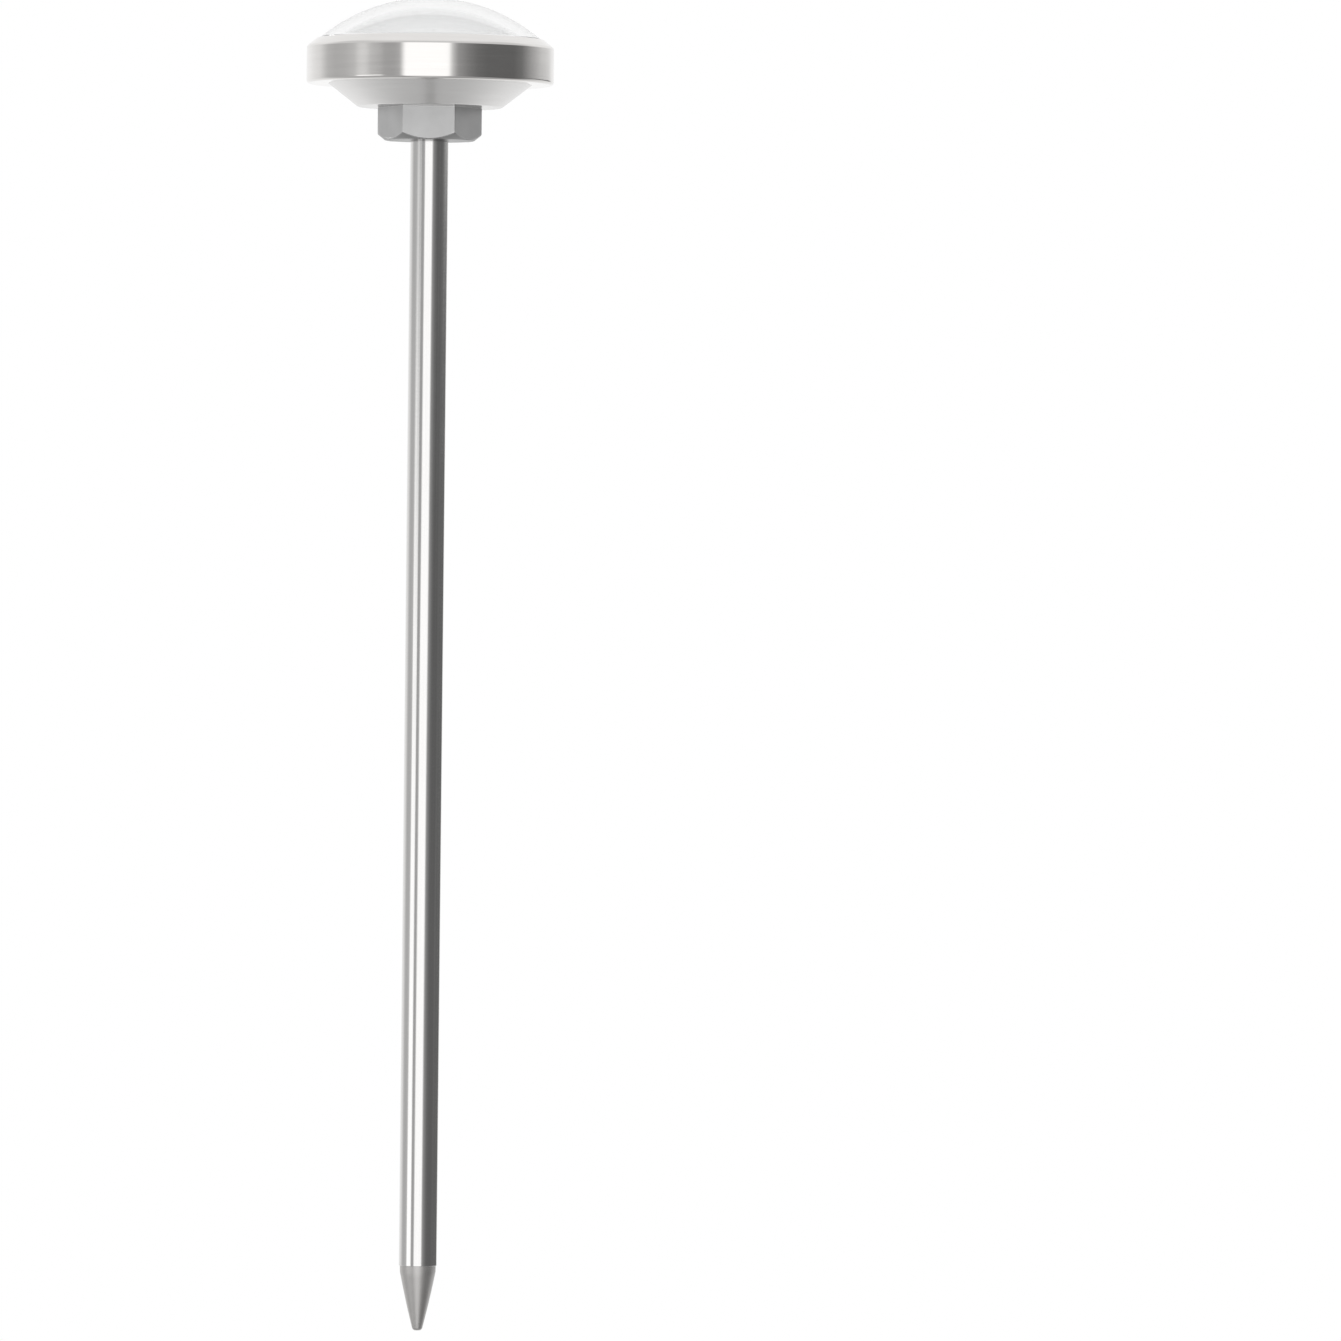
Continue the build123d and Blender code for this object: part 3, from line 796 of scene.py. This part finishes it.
# Centre lines of each numeral's strokes, in fractions of its box.
STROKES = {
    "0": [oval(0.5, 0.5, 0.5, 0.5, 0, 360, steps=48)],
    "1": [[(0.56, -0.062), (0.56, 1.06)], bend((0.56, 1.03), (0.42, 0.83), (0.1, 0.74))],
    "2": [
        oval(0.49, 0.72, 0.47, 0.28, 172, -22)
        + bend((0.93, 0.62), (0.72, 0.38), (0.3, 0.2))
        + bend((0.27, 0.17), (0.08, 0.07), (0.02, 0.0)),
        [(-0.04, 0.0), (1.0, 0.0)],
    ],
    "3": [
        oval(0.48, 0.765, 0.42, 0.235, 165, -90) + [(0.34, 0.53)],
        [(0.36, 0.53)] + oval(0.48, 0.265, 0.5, 0.265, 90, -168),
    ],
    "4": [[(0.72, -0.062), (0.72, 1.06)], [(0.72, 1.0), (0.0, 0.3)], [(-0.06, 0.27), (1.06, 0.27)]],
    "5": [
        [(0.93, 1.0), (0.22, 1.0)],
        [(0.22, 1.05), (0.1, 0.47)],
        oval(0.47, 0.32, 0.52, 0.32, 140, -168, steps=32),
    ],
    "6": [oval(0.52, 0.5, 0.52, 0.5, 200, 30, steps=32), oval(0.52, 0.31, 0.48, 0.31, 0, 360, steps=40)],
    "7": [[(0.0, 1.0), (1.0, 1.0)], bend((0.98, 0.98), (0.5, 0.55), (0.34, -0.06))],
    "8": [oval(0.5, 0.765, 0.42, 0.235, 0, 360, steps=40), oval(0.5, 0.265, 0.5, 0.265, 0, 360, steps=40)],
    "9": [oval(0.48, 0.5, 0.52, 0.5, 20, -150, steps=32), oval(0.48, 0.69, 0.48, 0.31, 0, 360, steps=40)],
    "C": [oval(0.66, 0.5, 0.66, 0.5, 38, 322, steps=48)],
}


def inked(points, width):
    """Overlapping convex polygons that draw a line of the given width through the points."""
    polygons = []
    for here, after in zip(points, points[1:]):
        along = after - here
        if along.length < 1e-6:
            continue
        side = Vector((-along.y, along.x)).normalized() * width / 2
        polygons.append([here - side, after - side, after + side, here + side])
    for joint in points[1:-1]:
        polygons.append(arc(joint, width / 2, 0, 360, 12)[:-1])
    return polygons


def glyph(character, corner, height=GLYPH_HEIGHT):
    """Polygons of one character whose box has its lower left corner at the given point."""
    polygons = []
    for line in STROKES[character]:
        points = [corner + Vector((x * GLYPH_WIDTH, y * height)) for x, y in line]
        polygons += inked(points, STROKE)
    return polygons


def numeral(value):
    """Polygons of a number that stands upright, with its middle towards its mark."""
    text = str(value)
    radius = WIDE_NUMERAL_RADIUS if value in WIDE_NUMERALS else NUMERAL_RADIUS
    whole = NUMERAL_ADVANCE * (len(text) - 1) + GLYPH_WIDTH
    corner = clock(value) * radius - Vector((whole, GLYPH_HEIGHT)) / 2
    polygons = []
    for place, character in enumerate(text):
        polygons += glyph(character, corner + Vector((place * NUMERAL_ADVANCE, 0)))
    return polygons


def dial_print():
    """The scale, its numerals and the unit, as thin raised ink on the dial."""
    low, high = DIAL_HIGH.z + INK_LOW, DIAL_HIGH.z + INK_HIGH
    mesh = slab("scale_ink", ticks(), low, high)
    shown("scale_ink", mesh, "head", None, PRINT_BLACK, sharp=30)
    for value in range(0, SCALE_END + 1, 10):
        name = f"numeral_{value}"
        shown(name, slab(name, numeral(value), low, high), "head", None, PRINT_BLACK, sharp=30)
    unit = glyph("C", Vector(UNIT_CORNER), UNIT_HEIGHT)
    unit += inked(arc(Vector(DEGREE_CENTRE), DEGREE_RADIUS, 0, 360, 28), DEGREE_STROKE)
    shown("unit_ink", slab("unit_ink", unit, low, high), "head", None, PRINT_BLACK, sharp=30)


def dial_plate():
    """Flat disc with a hole for the pointer's hub."""
    hole = 1.2
    outline = rounded(
        (hole, DIAL_LOW.z, 0),
        (DIAL_HIGH.x, DIAL_LOW.z, 0.04),
        (DIAL_HIGH.x, DIAL_HIGH.z, 0.04),
        (hole, DIAL_HIGH.z, 0.06),
    )
    shown("dial_skin", lathe("dial_skin", outline), "head", "dial_plate", DIAL_WHITE)


# ---------------------------------------------------------------- pointer

RIVET_RADIUS = 0.95  # of the hub, where it goes through the blade


def softened(piece, width):
    """Rounds every sharp edge of a piece."""
    bevel = piece.modifiers.new("edges", "BEVEL")
    bevel.width = width * MM
    bevel.segments = 2
    bevel.limit_method = "ANGLE"
    bevel.angle_limit = math.radians(40)
    bevel.harden_normals = True


def wedge(start, start_half, end, end_half):
    """A four-cornered polygon along +X, from its half width at the start to that at the end."""
    return [
        Vector((start, -start_half)),
        Vector((end, -end_half)),
        Vector((end, end_half)),
        Vector((start, start_half)),
    ]


def pointer_blade():
    """Stamped blade with a round disc at the shaft and a short wide tail with an arc end."""
    disc_radius, root, neck, neck_half = 1.74, 1.44, 7.2, 0.24
    tail_reach, tail_half, waist, waist_half = 4.03, 1.44, -1.1, 1.12
    disc = arc(Vector((0, 0)), disc_radius, 0, 360, 72)[:-1]
    blade = wedge(root, 0.86, neck, neck_half)
    needle = wedge(neck, neck_half, POINTER_HIGH.x, 0.26)
    corner = math.degrees(math.asin(tail_half / tail_reach))
    tail = arc(Vector((0, 0)), tail_reach, 180 - corner, 180 + corner, 14)
    tail += [Vector((waist, -waist_half)), Vector((waist, waist_half))]
    polygons = [disc, blade, needle, tail]
    mesh = slab("pointer_skin", polygons, POINTER_LOW.z, POINTER_HIGH.z, hole=RIVET_RADIUS)
    piece = shown("pointer_skin", mesh, "pointer", "pointer", POINTER_RED, sharp=30)
    softened(piece, 0.035)


def pointer_cap():
    """Low button with a rounded shoulder and a barely crowned top."""
    radius, low, high = CAP_HIGH.x, CAP_LOW.z, CAP_HIGH.z
    foot, shoulder, crown, steps = 0.04, 0.22, 0.06, 8
    outline = [Vector((0, low)), Vector((radius - foot, low)), Vector((radius, low + foot))]
    outline += arc(Vector((radius - shoulder, high - crown - shoulder)), shoulder, 0, 78, 8)
    for i in range(1, steps):
        t = 1 - i / steps
        outline.append(Vector(((radius - 0.2) * t, high - crown * t * t)))
    outline.append(Vector((0, high)))
    shown("cap_skin", lathe("cap_skin", outline, 96), "pointer", "pointer_cap", CAP_CREAM)


def pointer_hub():
    """Brass bush with a flange that the blade is riveted against."""
    bore = 0.5
    flange_low, flange_high = POINTER_LOW.z - 0.2, POINTER_LOW.z
    outline = rounded(
        (bore, HUB_LOW.z, 0),
        (RIVET_RADIUS, HUB_LOW.z, 0.05),
        (RIVET_RADIUS, flange_low, 0),
        (HUB_HIGH.x, flange_low, 0.04),
        (HUB_HIGH.x, flange_high, 0.04),
        (RIVET_RADIUS, flange_high, 0),
        (RIVET_RADIUS, HUB_HIGH.z, 0.02),
        (bore, HUB_HIGH.z, 0),
    )
    shown("hub_skin", lathe("hub_skin", outline, 96), "pointer", "pointer_hub", BRASS)


finish_hidden_pieces()
stem_tube()
stem_tip()
hex_nut()
case_back()
bezel_ring()
crystal()
ring("spacer_skin", "dial_spacer", "spacer_black", SPACER_BLACK, SIGHT_RADIUS, 0.1)
ring("gasket_skin", "lens_gasket", "gasket_rubber", SEAL_RUBBER, SIGHT_RADIUS, 0.12)
dial_plate()
dial_print()
pointer_blade()
pointer_hub()
pointer_cap()


# ---------------------------------------------------------------- studio

CAMERA_DISTANCE = 1.2
SENSOR = 36.0
FRAME_HEIGHT = 0.1409  # what the picture spans at the object
EYE_LEVEL = 0.0696
SIDE_STEP = 0.0259  # camera to the right of the stem, so that the object stands in the frame's left part
LEAN = -0.6  # the object stands this much off plumb in the picture, degrees

# The room round the object, as brightness by compass angle: 0 is the camera's side, + is to its right.
ROOM = [
    (-180, 1.0),
    (-148, 1.0),
    (-124, 0.86),
    (-110, 0.58),
    (-98, 0.52),
    (-86, 0.54),
    (-74, 0.62),
    (-68, 0.76),
    (-62, 0.76),
    (-56, 0.58),
    (-42, 0.44),
    (-33, 0.44),
    (-27, 0.5),
    (-22, 1.35),
    (18, 1.35),
    (22, 0.66),
    (27, 0.36),
    (37, 0.24),
    (46, 0.17),
    (56, 0.14),
    (86, 0.14),
    (96, 0.2),
    (103, 0.35),
    (110, 0.51),
    (127, 0.8),
    (154, 0.95),
    (180, 1.0),
]
ROOM_PEAK = 1.4
CEILING = 1.0
HIGH_WALL = 0.75  # slightly darker band under the ceiling, at the front and the sides
GLOSS_CUT = 0.2  # what the crystal mirrors of the room above it, as if through a polarising filter
# Cards near the horizon that only the stem mirrors: compass angle and half width in degrees, brightness, and
# the heights of a unit direction between which each fades in at its foot and out at its top.
LOW_CARDS = [
    (-58.0, 14.0, 1.42, -0.3, -0.2, -0.002, 0.041),
    (122.0, 30.0, 0.15, -0.11, -0.07, 0.0445, 0.0495),
]
CARD_FADE = 0.22  # soft part at a low card's sides, of its half width
NEAR_FLOOR = 0.5  # straight below
PANELS_IN_FLOOR, FLOOR_BASE = 0.22, 0.33  # farther out, where the floor mirrors the panels
# Lamps: place in metres, diameter and watts.
KEY_LAMP = ((0.2, 0.22, 0.85), 0.36, 2.9)
GLARE_LAMP = ((-0.44, 0.7, 0.505), 0.2, 0.5)
# The paper under the stem, in metres.
PAPER_RADIUS, PAPER_LEVEL = 0.9, -0.06
PAPER_FADE = (0.25, 0.85)  # from whole to clear


def room_panels(world, turn):
    """Brightness round the horizon, from the room's table."""
    ramp = world.add("ShaderNodeValToRGB", Fac=world.math("MULTIPLY_ADD", turn, 1 / math.tau, 0.5))
    ramp.color_ramp.interpolation = "LINEAR"
    stops = ramp.color_ramp.elements
    while len(stops) < len(ROOM):
        stops.new(0.5)
    for stop, (angle, level) in zip(stops, ROOM):
        stop.position = (angle + 180) / 360
        stop.color = grey(level / ROOM_PEAK)
    return world.math("MULTIPLY", ramp.outputs[0], ROOM_PEAK)


def with_low_cards(world, panels, turn, z):
    """Lays the low cards over the panels."""
    for angle, half, level, foot, whole, fading, top in LOW_CARDS:
        aside = world.math("ABSOLUTE", world.math("SUBTRACT", turn, math.radians(angle)))
        whole_side, clear_side = half * (1 - CARD_FADE), half * (1 + CARD_FADE)
        across = world.fade(aside, math.radians(whole_side), math.radians(clear_side), 1, 0)
        upward = world.math("MULTIPLY", world.fade(z, foot, whole, 0, 1), world.fade(z, fading, top, 1, 0))
        panels = world.blend(world.math("MULTIPLY", across, upward), panels, level)
    return panels


def room_above(world, panels, y, z, singular):
    """Walls and ceiling over the panels. The ceiling is brighter towards the back."""
    side_wall = world.fade(z, 0.72, 0.94, HIGH_WALL, CEILING)
    high = world.blend(world.fade(y, 0.1, 0.55, 0, 1), side_wall, CEILING)
    above = world.blend(world.fade(z, 0.06, 0.22, 0, 1), panels, high)
    mirrored = world.math("MULTIPLY", world.fade(z, 0.15, 0.4, 0, 1), world.fade(y, 0.02, 0.22, 1, 0))
    return world.blend(world.math("MULTIPLY", singular, mirrored), above, GLOSS_CUT)


def room_below(world, panels, y, z):
    """A floor that is grey at the front, with the panels faintly in it, and white at the back."""
    mirroring = world.math("MULTIPLY_ADD", panels, PANELS_IN_FLOOR, FLOOR_BASE)
    front = world.blend(world.fade(z, -0.8, -0.62, 1, 0), NEAR_FLOOR, mirroring)
    return world.blend(world.fade(y, 0.0, 0.9, 0, 1), front, 1.0)


def studio_world():
    """Pale studio: soft panels round the horizon, a bright ceiling and a pale floor; white to the camera."""
    backdrop = bpy.data.worlds.new("studio")
    bpy.context.scene.world = backdrop
    backdrop.use_nodes = True
    world = Tree(backdrop.node_tree)
    toward = world.add("ShaderNodeTexCoord").outputs["Generated"]
    x, y, z = world.add("ShaderNodeSeparateXYZ", Vector=toward).outputs
    rays = world.add("ShaderNodeLightPath").outputs
    turn = world.math("ARCTAN2", x, world.math("MULTIPLY", y, -1.0))
    panels = with_low_cards(world, room_panels(world, turn), turn, z)
    panels = world.blend(rays["Is Transmission Ray"], panels, 1.0)
    above = room_above(world, panels, y, z, rays["Is Singular Ray"])
    room = world.blend(world.fade(z, -0.75, -0.3, 1, 0), above, room_below(world, panels, y, z))
    level = world.blend(rays["Is Camera Ray"], room, 1.0)
    world.put(world.tree.nodes["Background"].inputs["Color"], level)


def softbox(name, place, size, power, mirrored_by=None):
    """A soft round lamp that looks at the head and isn't mirrored, or lights and is mirrored by one piece."""
    lamp = bpy.data.lights.new(name, "AREA")
    lamp.shape = "DISK"
    lamp.size = size
    lamp.energy = power
    item = bpy.data.objects.new(name, lamp)
    item.location = place
    target = Vector((0, 0, CAD_HIGH.z))
    item.rotation_euler = (target - item.location).to_track_quat("-Z", "Y").to_euler()
    item.visible_glossy = item.visible_transmission = mirrored_by is not None
    if mirrored_by:
        lit = bpy.data.collections.new(name)
        lit.objects.link(bpy.data.objects[mirrored_by])
        item.light_linking.receiver_collection = lit
    bpy.context.scene.collection.objects.link(item)


def floor():
    """White paper under the stem that fades out before its edge."""
    edge = arc(Vector((0, 0)), PAPER_RADIUS, 0, 360, 96)[:-1]
    mesh = bpy.data.meshes.new("floor")
    mesh.from_pydata([(*p, PAPER_LEVEL) for p in edge], [], [list(range(len(edge)))])
    n = Nodes("floor_paper")
    speck = n.noise(n.place, 900, 3)
    away = n.vector_math("LENGTH", n.place).outputs["Value"]
    n.set(
        Base_Color=n.mix(n.spread(speck, 0, 1), grey(0.915), grey(0.925)),
        Roughness=0.9,
        Alpha=n.spread(away, 1, 0, *PAPER_FADE),
    )
    mesh.materials.append(n.material)
    piece = bpy.data.objects.new("floor", mesh)
    piece.visible_glossy = False
    bpy.context.scene.collection.objects.link(piece)


def camera():
    """A long lens on the left view's side of the object."""
    data = bpy.data.cameras.new("camera")
    data.sensor_width = SENSOR
    data.lens = SENSOR * CAMERA_DISTANCE / FRAME_HEIGHT
    data.clip_start, data.clip_end = 0.01, 20
    item = bpy.data.objects.new("camera", data)
    item.location = (SIDE_STEP, -CAMERA_DISTANCE, EYE_LEVEL)
    item.rotation_euler = (math.radians(90), math.radians(LEAN), 0)
    bpy.context.scene.collection.objects.link(item)
    bpy.context.scene.camera = item


studio_world()
softbox("key", *KEY_LAMP)
softbox("glare", *GLARE_LAMP, mirrored_by="crystal_skin")
floor()
camera()
bpy.context.scene.view_settings.view_transform = "Standard"
